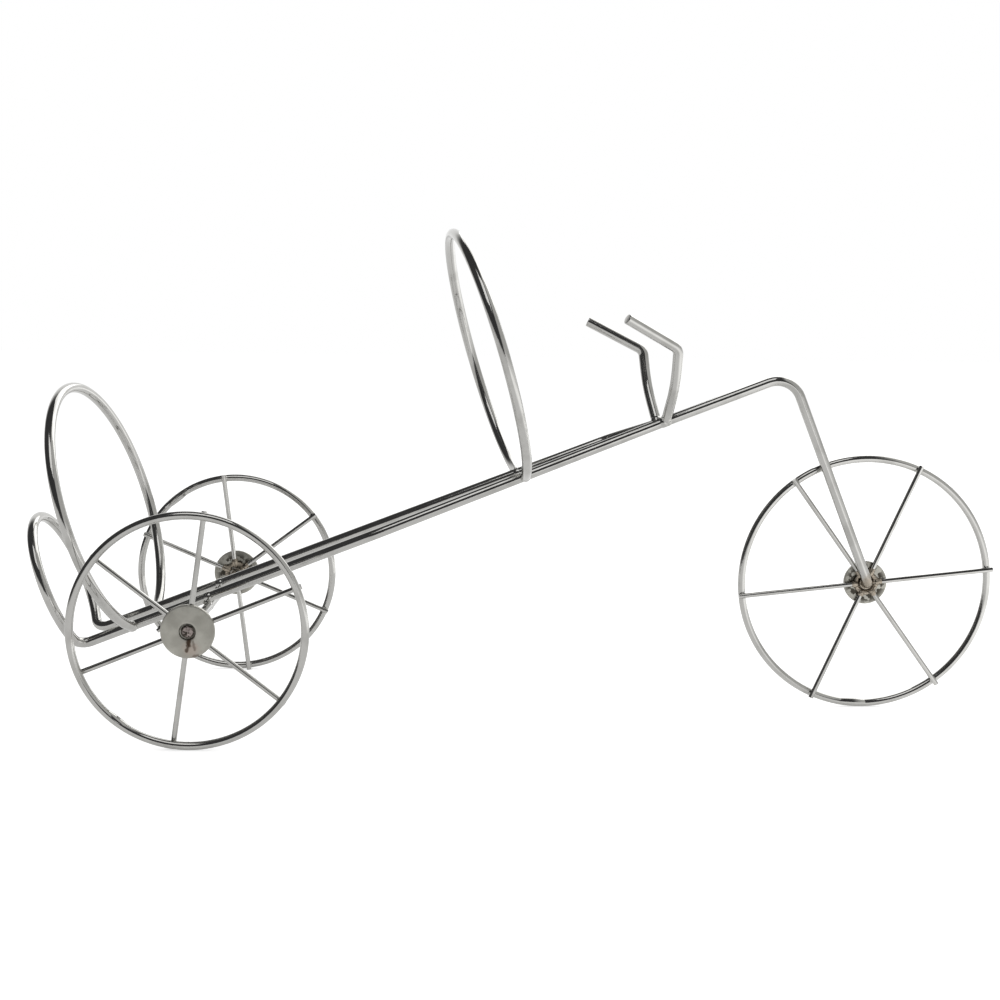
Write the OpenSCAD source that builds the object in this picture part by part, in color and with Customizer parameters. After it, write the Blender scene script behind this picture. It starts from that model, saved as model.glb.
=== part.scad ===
// Wine bottle holder in the form of a tricycle, bent and welded from steel wire.
// X runs from the rear wheels to the front wheel, Z is up, and the floor is at Z = 0.
// The origin is under the middle of the holder. Seen along +X, left is +Y and right is -Y.

/* [Frame wire] */
// Diameter of the long wire that makes the fork leg, both rails and the rear loop
frame_wire_d = 4; // [3:0.1:4.5]
// Depth that two wires melt into each other where they are welded
weld_set = 0.4; // [0.2:0.05:0.6]
// Slope of the two rails, front end up, in degrees
rail_rise = 21.3; // [15:0.1:26]
// Half the distance between the rails at their rear end
rail_half = 15.5; // [12:0.5:20]
// Distance from the rear axle's line forward to the place where the rails meet
junction_x = 177; // [165:1:190]
// Place where the right rail turns towards the middle, ahead of the rear axle, along the slope
turn_in_s = 70; // [20:1:110]
// Radius of the two gentle bends of the right rail
rail_bend_r = 60; // [30:5:100]
// Distance behind the rear axle's line where the rails bend into the rear loop, along the slope
tail_reach = 54; // [50:1:70]
// Length of the left rail's slanted end, along the slope
jog_length = 20; // [16:1:30]
// Left rail's distance from the middle plane where its slanted end starts
jog_y = 10; // [8:0.5:12]
// Length of the left rail's straight tip along the right rail
jog_end = 6; // [4:0.5:9]
// Radius of the two bends at the left rail's slanted end
jog_bend_r = 14; // [8:1:16]
// Sideways place of the fork leg, right of the middle plane
fork_offset = 3.5; // [2:0.1:5]
// Backward lean of the fork leg from square to the rails, in degrees
fork_lean = 0.8; // [-2:0.1:4]
// Radius of the bend between the rails and the fork leg
fork_bend_r = 10; // [7:0.5:14]
// Radius of the bend between the fork leg and the front axle
axle_bend_r = 3; // [2.6:0.1:3.2]

/* [Rear loop] */
// Radius of the loop behind the bottle's base, to the wire's centre line
rear_loop_r = 28; // [24:0.5:32]
// Radius of the bends between the rails and the rear loop
tail_bend_r = 5; // [4:0.5:7]

/* [Hoops] */
// Diameter of the hoops' wire
hoop_wire_d = 4; // [2.8:0.1:4.5]
// Radius of the front hoop, to the wire's centre line
front_hoop_r = 50; // [46:0.5:54]
// Radius of the rear hoop, to the wire's centre line
rear_hoop_r = 49; // [46:0.5:54]
// Place of the front hoop's feet ahead of the rear axle, along the slope
front_hoop_s = 131; // [110:1:150]
// Place of the rear hoop's feet behind the rear axle, along the slope
rear_hoop_s = 30; // [20:1:42]
// Forward lean of the hoops from square to the rails, in degrees
hoop_lean = 4.5; // [0:0.5:8]
// Turn of each hoop about its upright, the front one with its right side forward, in degrees
hoop_turn = 6; // [0:0.5:8]

/* [Neck support] */
// Diameter of the neck support's wire
support_wire_d = 4; // [3:0.1:4.5]
// Outward slope of the lower leg from upright, in degrees
leg_splay = 36; // [28:1:42]
// Length of the lower leg above its weld
lower_leg = 17; // [14:0.5:22]
// Outward slope of the upper leg from upright, in degrees
upper_splay = 14; // [8:1:20]
// Length of the upper leg
upper_leg = 14.5; // [10:0.5:18]
// Length of the arm beside the bottle's neck
arm_length = 25; // [16:0.5:30]
// Upward slope of the arm, in degrees
arm_rise = 29; // [15:1:40]
// Outward flare of the right arm in the turned support, in degrees
right_flare = 8; // [4:1:14]
// Outward flare of the left arm in the turned support, in degrees
left_flare = 23; // [14:1:30]
// Turn of the whole support about its upright, right side forward, in degrees
support_turn = 13.5; // [0:0.5:16]
// Backward lean of the whole support from upright, in degrees
support_lean = 2.5; // [0:0.5:5]
// Place of the right half's foot ahead of the rails' junction
right_foot_ahead = 2; // [0:0.1:4]
// Place of the left half's foot behind the rails' junction
left_foot_behind = 1; // [0:0.1:1.5]
// Radius of the bend between the lower and the upper leg
leg_bend_r = 40; // [20:5:60]
// Radius of the bend between the upper leg and the arm
arm_bend_r = 4; // [3:0.5:6]
// Depth of each leg's end in the top of its rail
foot_set = 0.8; // [0.4:0.1:1]

/* [Wheels] */
// Distance between the rear axle and the front axle
wheelbase = 263; // [240:1:290]
// Distance between the planes of the two rear rims
track = 128; // [118:1:150]
// Radius of the rear rims, to the wire's centre line
rear_rim_r = 42; // [36:0.5:48]
// Radius of the front rim, to the wire's centre line
front_rim_r = 50.4; // [44:0.5:56]
// Diameter of the rims' wire
rim_wire_d = 3; // [2.5:0.1:4]
// Diameter of the spokes' wire
spoke_d = 2; // [1.6:0.1:2.4]
// Length of each spoke beyond the rim's outside
spoke_tip = 0.2; // [0:0.05:0.3]
// Gap between a hub's recess and the inner ends of the spokes, across the wheel
spoke_gap = 0.6; // [0.4:0.1:1]
// Angle of the right rear wheel's first spoke, in degrees
right_phase = 22; // [0:1:60]
// Angle of the left rear wheel's first spoke, in degrees
left_phase = 37; // [0:1:60]
// Angle of the front wheel's first spoke, in degrees
front_phase = 6.5; // [0:0.5:60]

/* [Hubs and axles] */
// Diameter of the rear wheels' hub discs
rear_hub_d = 19.5; // [16:0.5:24]
// Diameter of the front wheel's hub disc
front_hub_d = 17.5; // [16:0.5:24]
// Thickness of a hub disc
hub_t = 1.6; // [1.4:0.1:2.5]
// Diameter of the recess in a hub disc's outer face
recess_d = 6; // [5:0.1:6.5]
// Depth of the recess
recess_depth = 0.8; // [0.6:0.1:1]
// Diameter of the rear axle
axle_d = 3.5; // [3:0.1:4]
// Gap all round between an axle and its hub disc
bore_clearance = 0.08; // [0.03:0.01:0.1]
// Gap along the axle on each side of a hub disc
end_clearance = 0.2; // [0.15:0.05:0.4]
// How far an axle's collar and hammered head stand out beyond the axle, all round
swell = 0.6; // [0.4:0.05:0.7]
// Width of the collar inside a wheel
collar_w = 1; // [0.8:0.1:1]
// Thickness of an axle's hammered head
head_w = 0.5; // [0.4:0.05:0.6]
// Gap between the fork leg and the front wheel's spokes
leg_gap = 0.8; // [0.7:0.1:1.5]

/* [Hidden] */

$fn = 48;
spoke_count = 6;
// A straight length laps this far over the end of a bend, which is this much slimmer
lap = 0.1;
lap_step = 0.03;
spoke_weld = weld_set / 2;

frame_r = frame_wire_d / 2;
hoop_wire_r = hoop_wire_d / 2;
rim_r = rim_wire_d / 2;
spoke_r = spoke_d / 2;
axle_r = axle_d / 2;

// Heights of the axles above the floor
rear_axle_z = rear_rim_r + rim_r;
front_axle_z = front_rim_r + rim_r;

// The rails cross over the rear axle, one weld depth into it
cradle_z = rear_axle_z + (frame_r + axle_r - weld_set) / cos(rail_rise);

// The front axle in the rails' frame, and the fork leg's upper bend
fork_s = wheelbase * cos(rail_rise) + (front_axle_z - cradle_z) * sin(rail_rise);
fork_length = wheelbase * sin(rail_rise) - (front_axle_z - cradle_z) * cos(rail_rise);
fork_top_s = fork_s - fork_length * tan(fork_lean);

// Places along the slope and across it
junction_s = junction_x / cos(rail_rise);
jog_s = junction_s - jog_length;
rail_contact = 2 * frame_r - weld_set;
left_end_y = rail_contact - fork_offset;
support_y = rail_contact / 2 - fork_offset;

// A wheel, from the spokes' plane outwards
disc_in = spoke_r - spoke_weld;
disc_out = disc_in + hub_t;
rim_out = spoke_r + rim_r - spoke_weld;
rear_spoke_y = track / 2 - rim_out;
front_spoke_y = frame_r + leg_gap + spoke_r - fork_offset;
hub_bore_r = axle_r + bore_clearance;
collar_r = axle_r + swell;
front_swell_r = frame_r + swell;
spoke_root = recess_d / 2 + spoke_gap;

// The rear loop's wire leaves each rail at this angle from level
loop_angle = asin(rail_half / norm([rear_loop_r, tail_bend_r])) + atan(tail_bend_r / rear_loop_r);
loop_h = tail_bend_r * sin(loop_angle) + rear_loop_r * cos(loop_angle);

// Half the length past the middle, from the rear loop's back to the front rim's front
rear_end = -tail_reach * cos(rail_rise) - (loop_h + rear_loop_r) * sin(rail_rise) - frame_r;
front_end = wheelbase + front_rim_r + rim_r;
middle_x = (rear_end + front_end) / 2;

// ---- Wire working ----

function unit(v) = v / norm(v);

function turn_at(p, i) =
    let (a = unit(p[i] - p[i - 1]), b = unit(p[i + 1] - p[i])) acos(max(-1, min(1, a * b)));

// Length that a bend of radius r[i] takes from each side of corner i
function setback(p, r, i) =
    i == 0 || i == len(p) - 1 ? 0 : r[i] * tan(turn_at(p, i) / 2);

// Straight round wire from a to b along the unit vector u, lapping over its neighbours
module wire_straight(a, b, u, lap_a, lap_b, d) {
    translate(a - u * lap_a)
        rotate([0, acos(u.z), atan2(u.y, u.x)])
            cylinder(d = d, h = norm(b - a) + lap_a + lap_b);
}

// Bend in corner i of path p: a ring sector tangent to both sides
module wire_bend(p, r, i, d) {
    u = unit(p[i] - p[i - 1]);
    w = unit(p[i + 1] - p[i]);
    n = unit(w - u * (u * w));
    c = p[i] - u * setback(p, r, i) + n * r[i];
    z = cross(-n, u);
    multmatrix([
        [-n.x, u.x, z.x, c.x],
        [-n.y, u.y, z.y, c.y],
        [-n.z, u.z, z.z, c.z],
        [0, 0, 0, 1]
    ])
        rotate_extrude(angle = turn_at(p, i))
            translate([r[i], 0])
                circle(d = d - lap_step);
}

// Round wire of diameter d along path p, with bend radius r[i] in corner i;
// lap_end is the lap at the path's last point, where another bend may follow
module bent_wire(p, r, d, lap_end = 0) {
    last = len(p) - 2;
    for (i = [0 : last]) {
        u = unit(p[i + 1] - p[i]);
        a = p[i] + u * setback(p, r, i);
        b = p[i + 1] - u * setback(p, r, i + 1);
        wire_straight(a, b, u, i == 0 ? 0 : lap, i == last ? lap_end : lap, d);
    }
    for (i = [1 : last])
        wire_bend(p, r, i, d);
}

// Ring in the YZ plane, of radius r to the centre line, open by the angle gap on each side of
// its lowest point
module open_ring(r, gap, d) {
    rotate([90, 90, 90])
        rotate([0, 0, gap])
            rotate_extrude(angle = 360 - 2 * gap)
                translate([r, 0])
                    circle(d = d);
}

// Places children in the rails' frame: X along the slope, Z square to both rails
module cradle() {
    translate([-middle_x, 0, cradle_z])
        rotate([0, -rail_rise, 0])
            children();
}

// ---- Frame ----

// Start of the rear loop on one side, where the tail bend from the rail ends
function loop_start(side) =
    [-tail_reach, side * (rail_half + tail_bend_r * cos(loop_angle)), tail_bend_r * sin(loop_angle)];

right_path = [
    [fork_s, front_spoke_y + disc_out - recess_depth + end_clearance, -fork_length],
    [fork_s, -fork_offset, -fork_length],
    [fork_top_s, -fork_offset, 0],
    [junction_s, -fork_offset, 0],
    [turn_in_s, -rail_half, 0],
    [-tail_reach, -rail_half, 0],
    loop_start(-1)
];

left_path = [
    [junction_s + jog_end / 2, left_end_y, 0],
    [junction_s - jog_end / 2, left_end_y, 0],
    [jog_s, jog_y, 0],
    [-tail_reach, rail_half, 0],
    loop_start(1)
];

// Upset ring on an axle along Y, from y0 to y0 + w
module swelling(r, y0, w) {
    translate([0, y0, 0])
        rotate([-90, 0, 0])
            cylinder(r = r, h = w);
}

module main_wire() {
    color("silver")
        cradle() {
            bent_wire(
                right_path,
                [0, axle_bend_r, fork_bend_r, rail_bend_r, rail_bend_r, tail_bend_r, 0],
                frame_wire_d,
                lap
            );
            bent_wire(
                left_path,
                [0, jog_bend_r, jog_bend_r, tail_bend_r, 0],
                frame_wire_d,
                lap
            );
            translate([-tail_reach, 0, loop_h])
                open_ring(rear_loop_r, loop_angle, frame_wire_d - lap_step);
            translate([fork_s, front_spoke_y, -fork_length]) {
                swelling(front_swell_r, disc_in - end_clearance - collar_w, collar_w);
                swelling(front_swell_r, disc_out - recess_depth + end_clearance, head_w);
            }
        }
}

// Right and left rail's distance from the middle plane at place s along the slope
function right_rail_y(s) =
    -fork_offset - (rail_half - fork_offset) * min(1, (junction_s - s) / (junction_s - turn_in_s));
function left_rail_y(s) =
    jog_y + (rail_half - jog_y) * (jog_s - s) / (jog_s + tail_reach);

// Hoop of radius r whose ends are welded to the outsides of the rails at place s
module hoop(r, s, turn) {
    mid_y = (left_rail_y(s) + right_rail_y(s)) / 2;
    half = (left_rail_y(s) - right_rail_y(s)) / 2;
    foot = asin((half + frame_r - weld_set) / r);
    translate([s, mid_y, 0])
        rotate([0, hoop_lean, turn])
            translate([0, 0, r * cos(foot)])
                open_ring(r, foot, hoop_wire_d);
}

module front_hoop() {
    color("silver")
        cradle()
            hoop(front_hoop_r, front_hoop_s, hoop_turn);
}

module rear_hoop() {
    color("silver")
        cradle()
            hoop(rear_hoop_r, -rear_hoop_s, -hoop_turn);
}

// One half of the neck support; side is -1 for the right half and 1 for the left
module neck_support(side) {
    flare = side < 0 ? right_flare : left_flare;
    foot_x = junction_x + (side < 0 ? right_foot_ahead : -left_foot_behind);
    low = [0, side * sin(leg_splay), cos(leg_splay)];
    high = [0, side * sin(upper_splay), cos(upper_splay)];
    arm = [-cos(arm_rise) * cos(flare), side * cos(arm_rise) * sin(flare), sin(arm_rise)];
    foot = (frame_r - foot_set) * low;
    knee = foot + lower_leg * low;
    shoulder = knee + upper_leg * high;
    color("silver")
        translate([
            foot_x - middle_x,
            support_y + side * rail_contact / 2,
            cradle_z + foot_x * tan(rail_rise)
        ])
            rotate([0, -support_lean, support_turn])
                bent_wire(
                    [foot, knee, shoulder, shoulder + arm_length * arm],
                    [0, leg_bend_r, arm_bend_r, 0],
                    support_wire_d
                );
}

module rear_axle() {
    inner = rear_spoke_y + disc_in - end_clearance - collar_w;
    outer = rear_spoke_y + disc_out - recess_depth + end_clearance;
    color("gainsboro")
        translate([-middle_x, 0, rear_axle_z]) {
            swelling(axle_r, -outer, 2 * outer);
            for (side = [-1, 1])
                mirror([0, (1 - side) / 2, 0]) {
                    swelling(collar_r, inner, collar_w);
                    swelling(collar_r, outer, head_w);
                }
        }
}

// ---- Wheels, each in its own frame: the spokes' plane at Y = 0, the hub disc towards +Y ----

module right_wheel() {
    translate([-middle_x, -rear_spoke_y, rear_axle_z])
        mirror([0, 1, 0])
            children();
}

module left_wheel() {
    translate([-middle_x, rear_spoke_y, rear_axle_z])
        children();
}

module front_wheel() {
    translate([wheelbase - middle_x, front_spoke_y, front_axle_z])
        children();
}

module rim(r) {
    color("silver")
        translate([0, rim_out, 0])
            rotate([90, 0, 0])
                rotate_extrude()
                    translate([r, 0])
                        circle(d = rim_wire_d);
}

// Spoke number k of a wheel with rim radius r
module spoke(r, phase, k) {
    color("lightgray")
        rotate([0, -phase - k * 360 / spoke_count, 0])
            translate([spoke_root, 0, 0])
                rotate([0, 90, 0])
                    cylinder(d = spoke_d, h = r + rim_r + spoke_tip - spoke_root);
}

module hub_disc(d, bore_r) {
    color("darkgray")
        translate([0, disc_in, 0])
            rotate([-90, 0, 0])
                difference() {
                    cylinder(d = d, h = hub_t);
                    translate([0, 0, -hub_t])
                        cylinder(r = bore_r, h = 3 * hub_t);
                    translate([0, 0, hub_t - recess_depth])
                        cylinder(d = recess_d, h = hub_t);
                }
}

main_wire();
front_hoop();
rear_hoop();
neck_support(-1);  // right_neck_support
neck_support(1);  // left_neck_support
rear_axle();

right_wheel() rim(rear_rim_r);  // right_rim
right_wheel() hub_disc(rear_hub_d, hub_bore_r);  // right_hub_disc
left_wheel() rim(rear_rim_r);  // left_rim
left_wheel() hub_disc(rear_hub_d, hub_bore_r);  // left_hub_disc
front_wheel() rim(front_rim_r);  // front_rim
front_wheel() hub_disc(front_hub_d, frame_r + bore_clearance);  // front_hub_disc

for (k = [1 : spoke_count]) {
    right_wheel() spoke(rear_rim_r, right_phase, k - 1);
    left_wheel() spoke(rear_rim_r, left_phase, k - 1);
    front_wheel() spoke(front_rim_r, front_phase, k - 1);
}
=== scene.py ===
"""Dresses a wire bottle holder in the form of a tricycle: plating, welds, hub discs and studio."""

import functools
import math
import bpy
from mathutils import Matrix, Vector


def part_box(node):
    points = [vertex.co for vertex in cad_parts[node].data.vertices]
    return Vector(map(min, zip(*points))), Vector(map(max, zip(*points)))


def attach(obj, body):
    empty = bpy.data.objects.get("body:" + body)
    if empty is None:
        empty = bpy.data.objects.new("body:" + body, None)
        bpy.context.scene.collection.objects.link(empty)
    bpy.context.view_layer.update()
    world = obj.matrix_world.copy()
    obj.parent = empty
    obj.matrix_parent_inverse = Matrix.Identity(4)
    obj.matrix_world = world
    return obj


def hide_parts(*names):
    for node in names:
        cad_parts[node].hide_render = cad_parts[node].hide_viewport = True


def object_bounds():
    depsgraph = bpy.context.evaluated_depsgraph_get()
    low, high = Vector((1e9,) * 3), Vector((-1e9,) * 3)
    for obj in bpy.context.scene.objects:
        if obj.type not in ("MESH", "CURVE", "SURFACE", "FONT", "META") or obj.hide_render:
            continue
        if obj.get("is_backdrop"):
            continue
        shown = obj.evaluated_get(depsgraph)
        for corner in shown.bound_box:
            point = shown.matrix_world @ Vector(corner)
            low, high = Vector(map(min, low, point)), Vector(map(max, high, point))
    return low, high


bl_info = {
    "name": "Tricycle Bottle Holder",
    "version": (1, 0, 0),
    "blender": (4, 5, 0),
    "location": "View3D > Sidebar > Bottle Holder",
    "description": "Plated wire, welds, hub discs and hammered axle ends for a wire bottle holder",
    "category": "Object",
}

import bmesh
import bpy
from bpy.props import FloatProperty, FloatVectorProperty, PointerProperty
from mathutils import Matrix, Vector
from mathutils.bvhtree import BVHTree

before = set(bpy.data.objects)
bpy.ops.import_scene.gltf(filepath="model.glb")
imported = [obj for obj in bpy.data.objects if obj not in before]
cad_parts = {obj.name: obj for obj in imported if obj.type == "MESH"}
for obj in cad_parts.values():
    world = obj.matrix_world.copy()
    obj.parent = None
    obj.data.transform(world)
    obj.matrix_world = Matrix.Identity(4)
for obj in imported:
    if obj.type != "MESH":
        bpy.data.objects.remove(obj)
CAD_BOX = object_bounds()

MM = 0.001
FRAME_WIRES = ("main_wire", "front_hoop", "rear_hoop", "right_neck_support", "left_neck_support")
# Each wheel's name, and the way its hub disc faces
WHEELS = {"right": Vector((0, -1, 0)), "left": Vector((0, 1, 0)), "front": Vector((0, 1, 0))}
SPOKES = 6
UP = Vector((0, 0, 1))
ACROSS = Vector((0, 1, 0))
# Counts each axis of a distance once, or leaves out the one along the axles
EVENLY = (1, 1, 1)
FLAT = (1, 0, 1)

# Faces are flush where the cosine of the angle between them is above this
FLUSH = 0.99999
# A flat region with at least this many corners, and this share of a full circle, is a cut end
CUT_END_CORNERS = 20
CUT_END_SHARE = 0.85
# How far below a surface a ray starts that measures the wire's thickness
UNDER_SURFACE = 0.01 * MM
# How close two corners of a turned shape lie before they become one
WELD_CORNERS = 0.01 * MM
# Steps of smoothing for a hub weld or a nugget, and for a frame weld's wider hollows
NUGGET_SOFTNESS = 7
FILLET_SOFTNESS = 16
# An edge sharper than this, in radians, is rounded
EDGE_ANGLE = 0.9
# Steps round a hub disc, and from its edge to its recess
DISC_STEPS = 128
CROWN_STEPS = 8
# Flats that the hammer leaves on an axle's end, and the grain that they are modelled with
HAMMER_FLATS = 5
HAMMER_GRAIN = 0.13 * MM


# ---- Sizes, colours and studio ----


def length(name, description, millimetres):
    """A length property whose default is given in millimetres."""
    return FloatProperty(
        name=name,
        description=description,
        default=millimetres * MM,
        unit="LENGTH",
        subtype="DISTANCE",
        precision=5,
    )


def colour(name, description, rgb):
    return FloatVectorProperty(
        name=name, description=description, default=rgb, subtype="COLOR", size=3, min=0, max=1
    )


class HolderSizes(bpy.types.PropertyGroup):
    bead: length("Fillet", "How far a frame weld stands out from its wires", 0.22)
    bead_reach: length("Fillet reach", "Half the length of a frame weld along each wire", 3.0)
    nugget: length("Nugget", "Half the width of the metal where a spoke crosses a rim", 1.45)
    nugget_flat: length("Nugget thickness", "Half the thickness of that metal", 0.95)
    root: length("Spoke root", "Half the length of the weld at a spoke's inner end", 2.1)
    root_swell: length("Root swelling", "How far that weld stands out from the spoke", 0.36)
    slag_ring: length("Hub weld", "Radius of the ring of weld metal round an axle", 4.0)
    slag: length("Hub weld roundness", "Radius of that ring's round", 1.05)
    joint_reach: length("Rim joint", "Half the length of the swelling where a rim's ends meet", 9.0)
    joint_swell: length("Joint swelling", "How far that swelling stands out", 0.3)
    grain: length("Weld grain", "Size of the facets that a weld is modelled with", 0.16)
    lumps: length("Weld lumps", "Height of the lumps in a weld's surface", 0.12)
    disc_edge: length("Disc edge", "Rounding of a hub disc's edges", 0.22)
    crown: length("Disc crown", "How far a hub disc's face bulges in the middle", 0.3)
    head_rise: length("Axle head", "Height of the hammered dome on an axle's end", 0.34)
    collar_gap: length("Collar gap", "From a disc's inner face to the middle of its collar", 0.7)
    collar_wire: length("Collar roundness", "Radius of the round of a hammered collar", 0.62)
    tip_round: length("Tip rounding", "Rounding of a cut wire end", 0.35)


class HolderFinish(bpy.types.PropertyGroup):
    plate: colour("Plate", "Bright plating on the wires", (0.52, 0.515, 0.495))
    plate_dull: colour("Dull plate", "Duller patches of the plating", (0.44, 0.435, 0.415))
    scorch: colour("Scorch", "Heat mark beside a hub weld", (0.3, 0.25, 0.19))
    slag: colour("Weld metal", "Rough weld metal at the hubs", (0.37, 0.325, 0.265))
    # Black scale, and also the painted shade round the rims of the hammered axle heads
    burn_and_shade: colour("Burn", "Black scale left by the welding heat", (0.035, 0.03, 0.022))
    disc: colour("Hub disc", "Satin plate on the hub discs", (0.38, 0.37, 0.33))
    disc_pale: colour("Pale disc", "Paler patches of the hub discs", (0.5, 0.49, 0.44))
    rust: colour("Stain", "Brown stain that runs down from an axle", (0.075, 0.05, 0.033))
    blush: colour("Blush", "Pinkish haze beside the stain", (0.5, 0.4, 0.34))
    steel: colour("Bare steel", "Hammered axle ends", (0.42, 0.36, 0.34))


class HolderStudio(bpy.types.PropertyGroup):
    lens: FloatProperty(name="Lens", description="Focal length", default=53.73, unit="CAMERA")
    eye: FloatVectorProperty(
        name="Eye",
        description="Camera's place",
        default=(-0.0301, -0.5925, 0.1553),
        subtype="TRANSLATION",
    )
    yaw: FloatProperty(name="Yaw", description="Turn to the right", default=0.037, subtype="ANGLE")
    pitch: FloatProperty(name="Pitch", description="Look down", default=0.119, subtype="ANGLE")
    roll: FloatProperty(
        name="Roll", description="Tilt of the camera", default=0.014, subtype="ANGLE"
    )
    fill: FloatProperty(
        name="Fill", description="Strength of the soft light all round", default=0.6
    )
    glow: FloatProperty(
        name="Floor glow", description="White that the eye sees in the floor", default=0.56
    )
    # Painted light: the floor's glow that mirrors see, dim on its left and bright on its right
    left_glow: FloatProperty(
        name="Left glow", description="White that mirrors see in the floor's left side", default=0.2
    )
    right_glow: FloatProperty(
        name="Right glow", description="White that mirrors see on the floor's right", default=0.8
    )
    floor: colour("Floor", "Colour of the floor", (0.8, 0.8, 0.8))
    overhead: colour("Overhead", "The tent's top, as mirrors see it", (0.62, 0.62, 0.61))
    room: colour("Dark room", "What mirrors see in the tent's open side", (0.055, 0.055, 0.057))
    floor_half: FloatProperty(name="Floor size", description="Half the floor's side", default=6.0)


# ---- Shader maths ----


class Value:
    """A socket of a shader. Arithmetic on it adds Math nodes."""

    def __init__(self, shader, socket):
        self.shader = shader
        self.socket = socket

    def math(self, operation, *terms):
        return self.shader.node("Math", {"operation": operation}, dict(enumerate(terms)))

    def __add__(self, other):
        return self.math("ADD", self, other)

    def __sub__(self, other):
        return self.math("SUBTRACT", self, other)

    def __rsub__(self, other):
        return self.math("SUBTRACT", other, self)

    def __mul__(self, other):
        return self.math("MULTIPLY", self, other)

    def least(self, other):
        return self.math("MINIMUM", self, other)

    def most(self, other):
        return self.math("MAXIMUM", self, other)


class Shader:
    """The nodes of one material or of the world."""

    def __init__(self, holder):
        holder.use_nodes = True
        self.tree = holder.node_tree
        self.tree.nodes.clear()

    def node(self, kind, settings=None, sockets=None, out=0):
        """Adds a node, makes its settings, fills its sockets and gives one of its outputs."""
        made = self.tree.nodes.new("ShaderNode" + kind)
        for key, value in (settings or {}).items():
            setattr(made, key, value)
        for key, value in (sockets or {}).items():
            if isinstance(value, Value):
                self.tree.links.new(value.socket, made.inputs[key])
            else:
                made.inputs[key].default_value = value
        return Value(self, made.outputs[out])

    def place(self):
        """Where a point lies on the piece, in the frame's own coordinates."""
        return self.node("TexCoord", out="Object")

    def noise(self, grain, detail):
        """Soft noise whose lumps are about one grain long, in metres."""
        sockets = {"Vector": self.place(), "Scale": 1 / grain, "Detail": detail}
        return self.node("TexNoise", {}, sockets)

    def step(self, value, low, high):
        """Rises smoothly from 0 at low to 1 at high."""
        return self.node(
            "MapRange",
            {"interpolation_type": "SMOOTHSTEP"},
            {"Value": value, "From Min": low, "From Max": high},
        )

    def distance(self, centre, squash=EVENLY):
        """Distance from a point, with each axis counted as many times as squash says."""
        shifted = self.node("VectorMath", {"operation": "SUBTRACT"}, {0: self.place(), 1: centre})
        scaled = self.node("VectorMath", {"operation": "MULTIPLY"}, {0: shifted, 1: squash})
        return self.node("VectorMath", {"operation": "LENGTH"}, {0: scaled}, out="Value")

    def parts(self, vector):
        """The three numbers of a vector."""
        split = self.node("SeparateXYZ", {}, {"Vector": vector})
        return [Value(self, output) for output in split.socket.node.outputs]

    def stroke(self, start, end):
        """Distance from a line between two points, however far along Y."""
        span = (end - start) * Vector(FLAT)
        step = span / span.length_squared
        shifted = self.node("VectorMath", {"operation": "SUBTRACT"}, {0: self.place(), 1: start})
        level = self.node("VectorMath", {"operation": "MULTIPLY"}, {0: shifted, 1: FLAT})
        along = self.node(
            "VectorMath", {"operation": "DOT_PRODUCT"}, {0: level, 1: step}, out="Value"
        )
        reached = self.node(
            "VectorMath", {"operation": "SCALE"}, {0: span, "Scale": along.most(0.0).least(1.0)}
        )
        away = self.node("VectorMath", {"operation": "SUBTRACT"}, {0: level, 1: reached})
        return self.node("VectorMath", {"operation": "LENGTH"}, {0: away}, out="Value")

    def nearest(self, points, squash=EVENLY):
        """Distance from the nearest of several points."""
        found = self.distance(points[0], squash)
        for point in points[1:]:
            found = found.least(self.distance(point, squash))
        return found

    def blend(self, factor, first, second):
        """Mixes two colours, each a Value or red, green and blue."""
        ends = [c if isinstance(c, Value) else (*c, 1) for c in (first, second)]
        return self.node(
            "Mix", {"data_type": "RGBA"}, {0: factor, 6: ends[0], 7: ends[1]}, out=2
        )

    def relief(self, height, depth):
        """A surface normal raised by a height of 0 to 1, depth metres at most."""
        return self.node("Bump", {}, {"Height": height, "Distance": depth, "Strength": 1.0})

    def surface(self, shader):
        self.node_output("OutputMaterial", shader)

    def node_output(self, kind, shader):
        """Sends a shader to the material's or the world's output."""
        output = self.tree.nodes.new("ShaderNode" + kind)
        self.tree.links.new(shader.socket, output.inputs["Surface"])


# ---- Materials ----


def metal(name, base, roughness, normal):
    """A metal whose colour, roughness and relief come from functions of a Shader."""
    material = bpy.data.materials.new(name)
    shader = Shader(material)
    sockets = {
        "Base Color": base(shader),
        "Metallic": 1.0,
        "Roughness": roughness(shader),
        "Normal": normal(shader),
    }
    shader.surface(shader.node("BsdfPrincipled", {}, sockets))
    return material


def plated_wire(name, scorches):
    """Bright plate on drawn wire, a little duller in patches and browned where a hub was welded."""
    finish = bpy.context.scene.holder_finish

    def heat(shader):
        ragged = shader.nearest(scorches, (1, 0.3, 1))
        ragged = ragged + (shader.noise(1.4 * MM, 3) - 0.5) * (3 * MM)
        return 1 - shader.step(ragged, 2.6 * MM, 6 * MM)

    def base(shader):
        dull = shader.step(shader.noise(9 * MM, 4), 0.45, 0.7)
        plate = shader.blend(dull, finish.plate, finish.plate_dull)
        return shader.blend(heat(shader) * 0.8, plate, finish.scorch)

    def roughness(shader):
        smear = shader.noise(3.2 * MM, 4) * 0.07
        return smear + heat(shader) * 0.25 + 0.06

    def normal(shader):
        ripple = shader.noise(5 * MM, 2) * 0.8 + shader.noise(0.6 * MM, 2) * 0.2
        return shader.relief(ripple, 0.045 * MM)

    return metal(name, base, roughness, normal)


def weld_metal(name):
    """Rough weld metal: lumpy, brownish, with black scale in its hollows."""
    finish = bpy.context.scene.holder_finish

    def base(shader):
        patches = shader.step(shader.noise(1.3 * MM, 4), 0.54, 0.7)
        return shader.blend(patches, finish.slag, finish.burn_and_shade)

    def roughness(shader):
        return shader.noise(0.9 * MM, 3) * 0.3 + 0.2

    def normal(shader):
        return shader.relief(shader.noise(0.45 * MM, 3), 0.09 * MM)

    return metal(name, base, roughness, normal)


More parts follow.
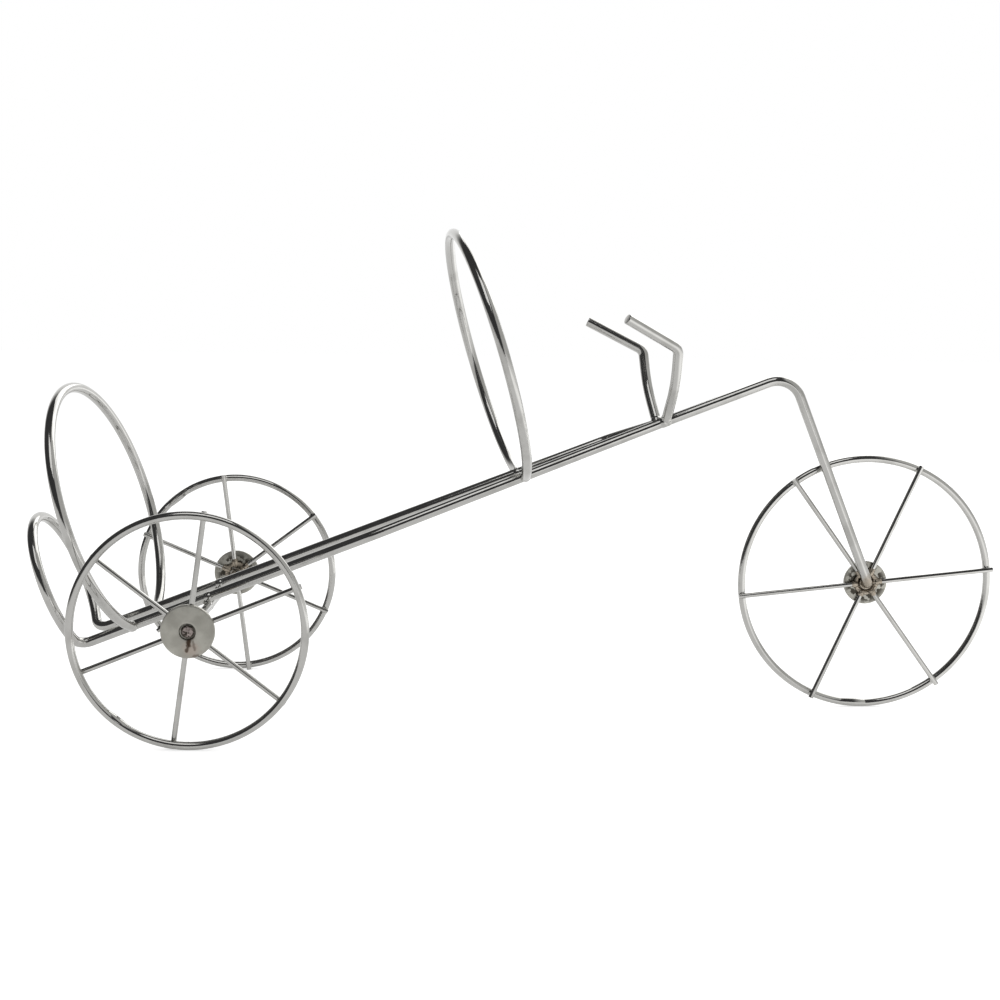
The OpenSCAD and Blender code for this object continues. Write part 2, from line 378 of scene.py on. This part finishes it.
def satin_disc(name, hub, facing, stains):
    """Satin plate, stained outside below the axle and burnt inside between the spokes' roots."""
    finish = bpy.context.scene.holder_finish
    ring_pitch = 0.34 * MM

    def outside(shader):
        height = shader.node(
            "VectorMath", {"operation": "DOT_PRODUCT"}, {0: shader.place(), 1: facing}, out="Value"
        )
        return shader.step(height, hub.dot(facing) - 0.3 * MM, hub.dot(facing) + 0.3 * MM)

    def runs(shader):
        marks = []
        for start, end, width, depth in stains:
            ragged = shader.stroke(hub + start * MM, hub + end * MM)
            ragged = ragged + (shader.noise(0.8 * MM, 3) - 0.5) * (1.1 * MM)
            marks.append((1 - shader.step(ragged, width * 0.35 * MM, width * 1.3 * MM)) * depth)
        return functools.reduce(Value.most, marks) * outside(shader)

    def haze(shader):
        ragged = shader.distance(hub + Vector((1.4, 0, -6.4)) * MM, FLAT)
        ragged = ragged + (shader.noise(1.6 * MM, 4) - 0.5) * (4 * MM)
        return (1 - shader.step(ragged, 1.2 * MM, 4.4 * MM)) * outside(shader)

    def burns(shader):
        spots = shader.step(shader.noise(2.2 * MM, 3), 0.46, 0.52)
        near = 1 - shader.step(shader.distance(hub, FLAT), 6.5 * MM, 9.5 * MM)
        return spots * near * (1 - outside(shader))

    def base(shader):
        pale = shader.step(shader.noise(6 * MM, 4), 0.35, 0.7)
        plate = shader.blend(pale, finish.disc, finish.disc_pale)
        blushed = shader.blend(haze(shader) * 0.5, plate, finish.blush)
        stained = shader.blend(runs(shader), blushed, finish.rust)
        return shader.blend(burns(shader) * 0.93, stained, finish.burn_and_shade)

    def roughness(shader):
        return shader.noise(1.8 * MM, 4) * 0.14 + runs(shader) * 0.2 + 0.3

    def normal(shader):
        rings = shader.distance(hub, FLAT) * (math.tau / ring_pitch)
        wave = rings.math("SINE", rings) * 0.15 + 0.5
        return shader.relief(wave + shader.noise(0.4 * MM, 3) * 0.5, 0.018 * MM)

    return metal(name, base, roughness, normal)


def hammered_steel(name):
    """Steel left bare by the hammer: pinkish grey, with dark dents, and painted shade round its rim
    where it sits in the disc's recess.
    """
    finish = bpy.context.scene.holder_finish
    # The rear heads share one axis, and the distance below leaves out the place along it
    axles = [wheel_axis("right"), wheel_axis("front")]

    def base(shader):
        dents = shader.step(shader.noise(0.9 * MM, 3), 0.45, 0.62)
        # Painted shade: the head darkens towards its rim, where it sits down in the disc's recess
        edge = shader.nearest(axles, FLAT) + (shader.noise(1.2 * MM, 3) - 0.5) * (1.6 * MM)
        dents_and_rim_shade = dents.most(shader.step(edge, 1.4 * MM, 2.1 * MM))
        return shader.blend(dents_and_rim_shade * 0.95, finish.steel, finish.burn_and_shade)

    def roughness(shader):
        return shader.noise(0.7 * MM, 3) * 0.3 + 0.22

    def normal(shader):
        return shader.relief(shader.noise(0.7 * MM, 3), 0.12 * MM)

    return metal(name, base, roughness, normal)


def paint(obj, material):
    """Gives every slot of an object one material."""
    if not obj.material_slots:
        obj.data.materials.append(material)
    for slot in obj.material_slots:
        slot.material = material


# ---- Asking the frame ----


class Wire:
    """One wire of the frame: where its cut ends are, and where its middle line runs."""

    def __init__(self, node):
        self.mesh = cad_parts[node].data
        corners = [v.co for v in self.mesh.vertices]
        self.tree = BVHTree.FromPolygons(corners, [p.vertices[:] for p in self.mesh.polygons])

    def flats(self):
        """Each flat region of the wire's surface, as a list of faces."""
        grid = bmesh.new()
        grid.from_mesh(self.mesh)
        # Unlike a set, a dict gives its faces in the same order on every run
        left = dict.fromkeys(grid.faces)
        while left:
            first = next(iter(left))
            del left[first]
            region = [first]
            for face in region:
                for other in (other for edge in face.edges for other in edge.link_faces):
                    if other in left and other.normal.dot(first.normal) > FLUSH:
                        del left[other]
                        region.append(other)
            yield region
        grid.free()

    def ends(self):
        """Middle, outward direction and radius of each flat cut end."""
        found = []
        for region in self.flats():
            corners = {corner for face in region for corner in face.verts}
            if len(corners) < CUT_END_CORNERS:
                continue
            area = sum(face.calc_area() for face in region)
            weighted = (face.calc_center_median() * face.calc_area() for face in region)
            middle = sum(weighted, Vector())
            middle /= area
            radius = max((corner.co - middle).length for corner in corners)
            if area > CUT_END_SHARE * math.pi * radius**2:
                found.append((middle, region[0].normal.copy(), radius))
        return found

    def near(self, point):
        """Middle, direction and radius of the wire beside a point."""
        wall, out, _, _ = self.tree.find_nearest(point)
        far, _, _, across = self.tree.ray_cast(wall - out * UNDER_SURFACE, -out)
        middle = (wall + far) / 2
        side = out.orthogonal().normalized()
        best = Vector()
        for turn in range(4):
            ray = Matrix.Rotation(math.radians(45 * turn), 3, out) @ side
            _, other, _, _ = self.tree.ray_cast(middle, ray)
            along = out.cross(other)
            if along.length > best.length:
                best = along
        return middle, best.normalized(), across / 2


def wheel_axis(wheel):
    """Middle of a wheel's hub disc."""
    low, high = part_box(wheel + "_hub_disc")
    return (low + high) / 2


# ---- Modelling ----


def take(obj):
    """Selects one object alone and makes it active."""
    bpy.ops.object.select_all(action="DESELECT")
    obj.select_set(True)
    bpy.context.view_layer.objects.active = obj


def settle(obj):
    """Moves an object's place, turn and scale into its mesh."""
    take(obj)
    bpy.ops.object.transform_apply(location=True, rotation=True, scale=True)
    return obj


def apply_modifier(obj, kind, **settings):
    """Adds a modifier, sets it and applies it."""
    take(obj)
    modifier = obj.modifiers.new(kind.title(), kind)
    for key, value in settings.items():
        setattr(modifier, key, value)
    bpy.ops.object.modifier_apply(modifier=modifier.name)


def bevel(obj, width, segments):
    """Rounds an object's sharp edges."""
    settings = {"limit_method": "ANGLE", "angle_limit": EDGE_ANGLE}
    apply_modifier(obj, "BEVEL", width=width, segments=segments, **settings)


def join(objects, name):
    """Joins objects into one."""
    take(objects[0])
    for obj in objects[1:]:
        obj.select_set(True)
    bpy.ops.object.join()
    joined = bpy.context.object
    joined.name = name
    joined.data.name = name
    return joined


def turned_copies(obj, centre, axis, count):
    """The object and its copies, evenly spaced round an axis, each with its own mesh."""
    copies = [obj]
    for k in range(1, count):
        take(obj)
        bpy.ops.object.duplicate()
        copy = bpy.context.object
        turn = Matrix.Rotation(-math.tau * k / count, 4, axis)
        copy.matrix_world = Matrix.Translation(centre) @ turn @ Matrix.Translation(-centre)
        copies.append(settle(copy))
    return copies


def lump(centre, along, half_length, radius):
    """An egg of metal along a wire."""
    turn = along.to_track_quat("Z", "Y").to_euler()
    bpy.ops.mesh.primitive_uv_sphere_add(
        segments=48, ring_count=32, radius=radius, location=centre, rotation=turn
    )
    egg = bpy.context.object
    egg.scale.z = half_length / radius
    return settle(egg)


def lathe(name, profile, centre, facing):
    """Spins a closed profile of radii and heights round an axle, with its heights along facing."""
    bpy.ops.mesh.primitive_plane_add(size=MM, location=(0, 0, 0))
    turned = bpy.context.object
    turned.name = name
    turned.data.name = name
    bpy.ops.object.mode_set(mode="EDIT")
    bpy.ops.mesh.select_mode(type="VERT")
    bpy.ops.mesh.select_all(action="SELECT")
    bpy.ops.mesh.merge(type="CENTER")
    bpy.ops.transform.translate(value=(profile[0][0], 0, profile[0][1]))
    for before, after in zip(profile, profile[1:] + profile[:1]):
        step = (after[0] - before[0], 0, after[1] - before[1])
        bpy.ops.mesh.extrude_region_move(TRANSFORM_OT_translate={"value": step})
    bpy.ops.mesh.select_all(action="SELECT")
    bpy.ops.mesh.spin(steps=DISC_STEPS, angle=math.tau, center=(0, 0, 0), axis=(0, 0, 1))
    bpy.ops.mesh.select_all(action="SELECT")
    bpy.ops.mesh.remove_doubles(threshold=WELD_CORNERS)
    bpy.ops.mesh.normals_make_consistent(inside=False)
    bpy.ops.object.mode_set(mode="OBJECT")
    turned.location = centre
    turned.rotation_euler = facing.to_track_quat("Z", "Y").to_euler()
    return settle(turned)


def melt(lumps, name, softness=NUGGET_SOFTNESS):
    """Runs lumps of metal together into one bead with soft hollows."""
    sizes = bpy.context.scene.holder_sizes
    bead = join(lumps, name)
    apply_modifier(bead, "REMESH", mode="VOXEL", voxel_size=sizes.grain)
    apply_modifier(bead, "SMOOTH", factor=0.5, iterations=softness)
    return bead


def roughen(bead, height, grain):
    """Raises small lumps on a piece and shades it smooth."""
    texture = bpy.data.textures.new(bead.name, "CLOUDS")
    texture.noise_scale = grain
    texture.noise_depth = 2
    apply_modifier(bead, "DISPLACE", texture=texture, texture_coords="LOCAL", strength=height)
    take(bead)
    bpy.ops.object.shade_smooth()


def finish_piece(piece, material, body):
    """Gives a piece its material and its body."""
    paint(piece, material)
    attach(piece, body)


def frame_weld(name, wires):
    """A fillet over the place where wires meet; each wire is its middle, direction and radius."""
    sizes = bpy.context.scene.holder_sizes
    eggs = [
        lump(middle, along, sizes.bead_reach, radius + sizes.bead)
        for middle, along, radius in wires
    ]
    bead = melt(eggs, name, FILLET_SOFTNESS)
    roughen(bead, sizes.lumps * 0.3, 3 * MM)
    finish_piece(bead, bpy.data.materials["plated_frame_wire"], "frame")


def spoke_ends(wheel, k):
    """The inner and the outer end of a spoke, each a middle, direction and radius."""
    hub = wheel_axis(wheel)
    return sorted(Wire(f"{wheel}_spoke_{k}").ends(), key=lambda end: (end[0] - hub).length)


# ---- Where the welds are ----


def hoop_feet(hoop):
    """The ends of a hoop and the rail beside each, as pairs of wires."""
    rail = Wire("main_wire")
    return [(end, rail.near(end[0])) for end in Wire(hoop).ends()]


def neck_feet():
    """The lower end of each half of the neck support and the rail that it stands on."""
    rail = Wire("main_wire")
    feet = {}
    for half in ("right", "left"):
        end = min(Wire(half + "_neck_support").ends(), key=lambda e: e[0].z)
        feet[half] = (end, rail.near(end[0]))
    return feet


def axle_crossings():
    """Where the two rails cross over the rear axle."""
    axle_low, axle_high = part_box("rear_axle")
    middle = (axle_low + axle_high) / 2
    rail = Wire("main_wire")
    axle_radius = Wire("rear_axle").near(middle + ACROSS * MM)[2]
    found = []
    for side in (-1, 1):
        # A ray from just above the axle meets the rail near its middle line
        over = middle + UP * (2 * axle_radius - 0.2 * MM)
        wall, _, _, _ = rail.tree.ray_cast(over, ACROSS * side)
        crossing = rail.near(wall + ACROSS * side * MM)
        under = Vector((middle.x, crossing[0].y, middle.z))
        found.append((crossing, (under, ACROSS, axle_radius)))
    return found


def rail_seam():
    """Where the left rail's slanted tip lies along the right rail."""
    rail = Wire("main_wire")
    middle, out, radius = min(rail.ends(), key=lambda end: abs(end[1].y))
    inside = middle - out * 2.6 * MM
    # The right rail is looked for from above, because its sides may touch the left rail
    beside = rail.near(inside + Vector((0, -2 * radius, radius)))
    return (inside, out, beside[2]), beside


# ---- Operators ----


class HOLDER_OT_plate_wires(bpy.types.Operator):
    """Bright plating on every wire, rim and spoke"""

    bl_idname = "holder.plate_wires"
    bl_label = "Plate the Wires"

    def execute(self, context):
        plate = plated_wire("plated_frame_wire", [wheel_axis("front")])
        for node in FRAME_WIRES + ("rear_axle",):
            paint(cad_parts[node], plate)
        for wheel in WHEELS:
            plate = plated_wire(f"plated_{wheel}_wheel", [wheel_axis(wheel)])
            for part in ["rim"] + [f"spoke_{k}" for k in range(1, SPOKES + 1)]:
                paint(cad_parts[f"{wheel}_{part}"], plate)
        weld_metal("weld_metal")
        hammered_steel("hammered_steel")
        return {"FINISHED"}


class HOLDER_OT_frame_welds(bpy.types.Operator):
    """Weld beads at the hoops' feet, the neck support, the axle and the rail's tip"""

    bl_idname = "holder.frame_welds"
    bl_label = "Weld the Frame"

    def execute(self, context):
        for hoop in ("front_hoop", "rear_hoop"):
            for foot, rail in hoop_feet(hoop):
                side = "left" if foot[0].y > 0 else "right"
                frame_weld(f"{hoop}_{side}_weld", [foot, rail])
        for half, pair in neck_feet().items():
            frame_weld(half + "_neck_support_weld", list(pair))
        for crossing in axle_crossings():
            side = "left" if crossing[0][0].y > 0 else "right"
            frame_weld(side + "_axle_weld", list(crossing))
        frame_weld("rail_tip_weld", list(rail_seam()))
        return {"FINISHED"}


class HOLDER_OT_spoke_welds(bpy.types.Operator):
    """Weld metal at both ends of every spoke, and round each hub"""

    bl_idname = "holder.spoke_welds"
    bl_label = "Weld the Spokes"

    def execute(self, context):
        for wheel, facing in WHEELS.items():
            hub = wheel_axis(wheel)
            inner, outer = spoke_ends(wheel, 1)
            self.rim_welds(context, wheel, hub, facing, outer)
            self.hub_weld(context, wheel, hub, facing, inner)
        return {"FINISHED"}

    def rim_welds(self, context, wheel, hub, facing, outer):
        """A flat nugget in the corner between each spoke and the rim."""
        sizes = context.scene.holder_sizes
        tip, out, radius = outer
        ring, around, rim_radius = Wire(wheel + "_rim").near(tip - out * 1.5 * MM)
        touch = ring + (tip - ring).dot(facing) * facing * rim_radius / (rim_radius + radius)
        nugget = lump(touch, facing, sizes.nugget_flat, sizes.nugget)
        bead = melt([nugget], wheel + "_rim_weld")
        welds = join(turned_copies(bead, hub, facing, SPOKES), wheel + "_rim_welds")
        roughen(welds, sizes.lumps, 0.9 * MM)
        plate = bpy.data.materials[f"plated_{wheel}_wheel"]
        finish_piece(welds, plate, wheel + "_wheel")

    def hub_weld(self, context, wheel, hub, facing, inner):
        """Rough metal over the spokes' inner ends and in a ring round the axle."""
        sizes = context.scene.holder_sizes
        root, outward, radius = inner
        low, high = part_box(wheel + "_hub_disc")
        face = low.y if facing.y > 0 else high.y
        eggs = []
        for k in range(SPOKES):
            turn = Matrix.Rotation(math.tau * k / SPOKES, 3, facing)
            place = hub + turn @ (root - outward * sizes.root * 0.55 - hub)
            # No two of the six are equally long
            reach = sizes.root * (1 + 0.25 * math.sin(5 * k + 1))
            eggs.append(lump(place, turn @ outward, reach, radius + sizes.root_swell))
        bpy.ops.mesh.primitive_torus_add(
            major_segments=72,
            minor_segments=20,
            major_radius=sizes.slag_ring,
            minor_radius=sizes.slag,
            location=Vector((hub.x, face, hub.z)) - facing * sizes.slag * 0.35,
            rotation=facing.to_track_quat("Z", "Y").to_euler(),
        )
        eggs.append(settle(bpy.context.object))
        weld = melt(eggs, wheel + "_hub_weld")
        roughen(weld, sizes.lumps * 3, 1.5 * MM)
        finish_piece(weld, bpy.data.materials["weld_metal"], wheel + "_wheel")


class HOLDER_OT_rim_joints(bpy.types.Operator):
    """The swelling where each rim's two ends are welded together"""

    bl_idname = "holder.rim_joints"
    bl_label = "Close the Rims"

    def execute(self, context):
        sizes = context.scene.holder_sizes
        # Degrees round each wheel, from its front over its top
        angles = {"right": 232, "left": 128, "front": 266.7}
        for wheel, angle in angles.items():
            low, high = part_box(wheel + "_rim")
            hub = (low + high) / 2
            around_hub = math.radians(angle)
            out = Vector((math.cos(around_hub), 0, math.sin(around_hub)))
            middle, around, radius = Wire(wheel + "_rim").near(hub + out * (high.x - low.x) / 2)
            inward = -out - WHEELS[wheel]
            place = middle + inward * sizes.joint_swell
            joint = lump(place, around, sizes.joint_reach, radius + sizes.joint_swell * 0.5)
            joint.name = wheel + "_rim_joint"
            roughen(joint, sizes.lumps * 0.5, 2.5 * MM)
            plate = bpy.data.materials[f"plated_{wheel}_wheel"]
            finish_piece(joint, plate, wheel + "_wheel")
        return {"FINISHED"}


class HOLDER_OT_hub_discs(bpy.types.Operator):
    """Punched hub discs with a slight crown, rounded edges and a recess round the axle"""

    bl_idname = "holder.hub_discs"
    bl_label = "Punch the Hub Discs"

    def execute(self, context):
        # Each stain runs from one place to another, in mm from the axle, with a width and a depth
        hook = (
            (Vector((2.3, 0, -0.2)), Vector((2.2, 0, -1.7)), 0.6, 0.9),
            (Vector((2.2, 0, -1.7)), Vector((0.5, 0, -2.9)), 0.7, 0.85),
            (Vector((0.5, 0, -2.9)), Vector((0.4, 0, -4.9)), 0.95, 0.97),
            (Vector((0.3, 0, -4.9)), Vector((-0.3, 0, -7.0)), 0.7, 0.8),
            (Vector((2.0, 0, -3.7)), Vector((2.6, 0, -6.4)), 0.6, 0.45),
            (Vector((2.2, 0, -9.3)), Vector((3.6, 0, -8.8)), 0.8, 0.5),
        )
        drip = ((Vector((-1.0, 0, -2.4)), Vector((-1.3, 0, -6.2)), 0.8, 0.7),)
        stains = {"right": hook, "left": drip, "front": drip}
        for wheel, facing in WHEELS.items():
            disc = self.punch(context, wheel, facing)
            satin = satin_disc(f"satin_{wheel}_disc", wheel_axis(wheel), facing, stains[wheel])
            finish_piece(disc, satin, wheel + "_wheel")
            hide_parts(wheel + "_hub_disc")
        return {"FINISHED"}

    def punch(self, context, wheel, facing):
        """A disc with a recess outside and a bore through it, at the sizes of the frame's disc."""
        sizes = context.scene.holder_sizes
        low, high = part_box(wheel + "_hub_disc")
        middle = (low + high) / 2
        radius = (high.x - low.x) / 2
        thick = high.y - low.y
        tree = Wire(wheel + "_hub_disc").tree
        side = Vector((1, 0, 0))
        recess = tree.ray_cast(middle + facing * thick * 0.3, side)[3]
        bore = tree.ray_cast(middle - facing * thick * 0.3, side)[3]
        above = middle + facing * thick + side * (recess + bore) / 2
        floor = thick - (tree.ray_cast(above, -facing)[3] - thick / 2)
        crown = []
        for k in range(CROWN_STEPS + 1):
            spot = radius + (recess - radius) * k / CROWN_STEPS
            crown.append((spot, thick + sizes.crown * (1 - (spot / radius) ** 2)))
        profile = [(bore, 0), (radius, 0), *crown, (recess, floor), (bore, floor)]
        seat = Vector((middle.x, low.y if facing.y > 0 else high.y, middle.z))
        disc = lathe(wheel + "_punched_disc", profile, seat, facing)
        bevel(disc, sizes.disc_edge, 4)
        take(disc)
        bpy.ops.object.shade_smooth_by_angle(angle=math.radians(35))
        return disc


class HOLDER_OT_axle_ends(bpy.types.Operator):
    """Hammered heads and collars that keep the wheels on their axles"""

    bl_idname = "holder.axle_ends"
    bl_label = "Hammer the Axle Ends"

    def execute(self, context):
        sizes = context.scene.holder_sizes
        rear = sorted(Wire("rear_axle").ends(), key=lambda end: end[0].y)
        front = max(Wire("main_wire").ends(), key=lambda end: end[1].y)
        ends = {"right": rear[0], "left": rear[-1], "front": front}
        for order, (wheel, facing) in enumerate(WHEELS.items()):
            middle, _, radius = ends[wheel]
            head = self.head(f"{wheel}_axle_head", middle, facing, radius, order)
            finish_piece(head, bpy.data.materials["hammered_steel"], "frame")
            low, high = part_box(wheel + "_hub_disc")
            face = low.y if facing.y > 0 else high.y
            seat = Vector((middle.x, face, middle.z)) - facing * sizes.collar_gap
            collar = self.collar(f"{wheel}_axle_collar", seat, facing, radius)
            finish_piece(collar, bpy.data.materials["weld_metal"], "frame")
        return {"FINISHED"}

    def head(self, name, middle, facing, radius, order):
        """A domed head with a few flats left by the hammer."""
        rise = bpy.context.scene.holder_sizes.head_rise
        bpy.ops.mesh.primitive_ico_sphere_add(subdivisions=5, radius=radius, location=(0, 0, 0))
        head = bpy.context.object
        head.name = name
        bpy.ops.object.mode_set(mode="EDIT")
        for k in range(HAMMER_FLATS):
            uneven = 0.9 * math.sin(3.0 * k + order)
            turn = math.tau * (k / HAMMER_FLATS + 0.07 * order) + uneven
            tilt = math.radians(28 + 9 * math.sin(2.0 * k + order))
            level = Vector((math.cos(turn), math.sin(turn), 0))
            normal = level * math.sin(tilt) + UP * math.cos(tilt)
            bpy.ops.mesh.select_all(action="SELECT")
            bpy.ops.mesh.bisect(
                plane_co=normal * radius * 0.93,
                plane_no=normal,
                use_fill=True,
                clear_outer=True,
                threshold=0.001 * MM,
            )
        bpy.ops.object.mode_set(mode="OBJECT")
        apply_modifier(head, "REMESH", mode="VOXEL", voxel_size=HAMMER_GRAIN)
        apply_modifier(head, "SMOOTH", factor=0.5, iterations=2)
        head.matrix_world = (
            Matrix.Translation(middle)
            @ facing.to_track_quat("Z", "Y").to_matrix().to_4x4()
            @ Matrix.Diagonal((1.0, 1.0, rise / radius * 1.15, 1.0))
        )
        settle(head)
        roughen(head, 0.12 * MM, 0.8 * MM)
        return head

    def collar(self, name, seat, facing, radius):
        """A ring of metal pushed up round the axle."""
        sizes = bpy.context.scene.holder_sizes
        bpy.ops.mesh.primitive_torus_add(
            major_segments=64,
            minor_segments=24,
            major_radius=radius - sizes.collar_wire * 0.75,
            minor_radius=sizes.collar_wire,
            location=seat,
            rotation=facing.to_track_quat("Z", "Y").to_euler(),
        )
        collar = settle(bpy.context.object)
        collar.name = name
        apply_modifier(collar, "SMOOTH", factor=0.3, iterations=2)
        roughen(collar, 0.18 * MM, 1.2 * MM)
        return collar


class HOLDER_OT_arm_tips(bpy.types.Operator):
    """Rounded cut ends on the neck support's arms"""

    bl_idname = "holder.arm_tips"
    bl_label = "Round the Arm Tips"

    def execute(self, context):
        sizes = context.scene.holder_sizes
        for half in ("right", "left"):
            end = max(Wire(half + "_neck_support").ends(), key=lambda e: e[0].z)
            middle, out, radius = end
            bpy.ops.mesh.primitive_cylinder_add(
                vertices=64,
                radius=radius * 1.004,
                depth=sizes.tip_round * 2,
                end_fill_type="NGON",
                location=middle,
                rotation=out.to_track_quat("Z", "Y").to_euler(),
            )
            tip = settle(bpy.context.object)
            tip.name = half + "_arm_tip"
            bevel(tip, sizes.tip_round * 0.9, 5)
            take(tip)
            bpy.ops.object.shade_smooth_by_angle(angle=math.radians(40))
            finish_piece(tip, bpy.data.materials["plated_frame_wire"], "frame")
        return {"FINISHED"}


class HOLDER_OT_stage(bpy.types.Operator):
    """White floor, soft light and the camera"""

    bl_idname = "holder.stage"
    bl_label = "Set the Stage"

    def execute(self, context):
        studio = context.scene.holder_studio
        self.floor(studio)
        self.sky(context, studio)
        self.lamps()
        self.camera(context, studio)
        context.scene.view_settings.view_transform = "Standard"
        return {"FINISHED"}

    def floor(self, studio):
        """A pale floor that shows white to the eye and keeps shadows. Mirrors see it glow dimly on
        its left and brightly on its right, a painted pool of light.
        """
        bpy.ops.mesh.primitive_plane_add(size=2 * studio.floor_half, location=(0, 0, 0))
        floor = bpy.context.object
        floor.name = "floor"
        material = bpy.data.materials.new("white_floor")
        shader = Shader(material)
        paper = shader.node("BsdfDiffuse", {}, {"Color": (*studio.floor, 1)})
        eye, mirror = self.seen(shader)
        # Painted light: mirrors see the floor glow brighter on its right, in place of lamplight
        # falling there
        right = shader.step(shader.parts(shader.place())[0], 0.08, 0.28)
        mirrored_painted_light = right * (studio.right_glow - studio.left_glow) + studio.left_glow
        strength = eye * studio.glow + mirror * mirrored_painted_light
        glow = shader.node("Emission", {}, {"Color": (1, 1, 1, 1), "Strength": strength})
        shader.surface(shader.node("AddShader", {}, {0: paper, 1: glow}))
        paint(floor, material)
        floor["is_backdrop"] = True

    def seen(self, shader):
        """1 for rays from the eye, and 1 for rays from mirrors or through glass."""
        eye = shader.node("LightPath", out="Is Camera Ray")
        mirror = shader.node("LightPath", out="Is Glossy Ray")
        return eye, mirror.most(shader.node("LightPath", out="Is Transmission Ray"))

    def sky(self, context, studio):
        """A white tent. Mirrors see its top grey, and a dark room through its open upper left."""
        world = bpy.data.worlds.new("white_tent")
        context.scene.world = world
        shader = Shader(world)
        x, y, z = shader.parts(shader.node("TexCoord", out="Generated"))
        eye, mirror = self.seen(shader)
        top = shader.step(z, 0.08, 0.26) * (1 - shader.step(y, 0.5, 0.8)) * mirror
        left = 1 - shader.step(x, 0.3, 0.48)
        up = shader.step(z, -0.1, 0.06)
        dark = left * up * (1 - shader.step(y, 0.5, 0.85)) * mirror
        tent = shader.blend(top, (1, 1, 1), studio.overhead)
        tent = shader.blend(dark, tent, studio.room)
        level = eye.most(mirror) * (1 - studio.fill) + studio.fill
        background = shader.node("Background", {}, {"Color": tent, "Strength": level})
        shader.node_output("OutputWorld", background)

    def lamps(self):
        """Two dim soft boxes, one above the camera and a wide one above at the back."""
        boxes = {
            "soft_box_front": (Vector((-0.1, -0.7, 1.3)), 0.8, 2.4),
            "soft_box_back": (Vector((0.5, 0.9, 1.0)), 1.2, 6.5),
        }
        for name, (place, side, power) in boxes.items():
            bpy.ops.object.light_add(type="AREA", location=place)
            lamp = bpy.context.object
            lamp.name = name
            lamp.data.shape = "SQUARE"
            lamp.data.size = side
            lamp.data.energy = power
            lamp.rotation_euler = (-place).to_track_quat("-Z", "Y").to_euler()

    def camera(self, context, studio):
        """The camera, from its place, yaw, pitch and roll."""
        bpy.ops.object.camera_add(location=studio.eye)
        camera = bpy.context.object
        camera.name = "camera"
        camera.data.lens = studio.lens
        camera.data.clip_start = 0.01
        heading = Matrix.Rotation(-studio.yaw, 3, "Z")
        tilt = Matrix.Rotation(math.pi / 2 - studio.pitch, 3, "X")
        roll = Matrix.Rotation(studio.roll, 3, "Z")
        camera.rotation_euler = (heading @ tilt @ roll).to_euler()
        context.scene.camera = camera


class HOLDER_PT_sidebar(bpy.types.Panel):
    """Shows a button for each step, the stage among them"""

    bl_label = "Tricycle Bottle Holder"
    bl_idname = "HOLDER_PT_sidebar"
    bl_space_type = "VIEW_3D"
    bl_region_type = "UI"
    bl_category = "Bottle Holder"

    def draw(self, context):
        for step in STEPS:
            self.layout.operator(step.bl_idname)


STEPS = (
    HOLDER_OT_plate_wires,
    HOLDER_OT_frame_welds,
    HOLDER_OT_spoke_welds,
    HOLDER_OT_rim_joints,
    HOLDER_OT_hub_discs,
    HOLDER_OT_axle_ends,
    HOLDER_OT_arm_tips,
    HOLDER_OT_stage,
)
GROUPS = {"holder_sizes": HolderSizes, "holder_finish": HolderFinish, "holder_studio": HolderStudio}


def register():
    for cls in (*GROUPS.values(), *STEPS, HOLDER_PT_sidebar):
        bpy.utils.register_class(cls)
    for name, group in GROUPS.items():
        setattr(bpy.types.Scene, name, PointerProperty(type=group))


def unregister():
    for name in GROUPS:
        delattr(bpy.types.Scene, name)
    for cls in reversed((*GROUPS.values(), *STEPS, HOLDER_PT_sidebar)):
        bpy.utils.unregister_class(cls)


def main():
    register()
    for step in STEPS:
        category, name = step.bl_idname.split(".")
        getattr(getattr(bpy.ops, category), name)()
    boxes = {"cad": CAD_BOX, "visual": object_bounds()}
    {key: [list(corner) for corner in box] for key, box in boxes.items()}


if __name__ == "__main__":
    main()
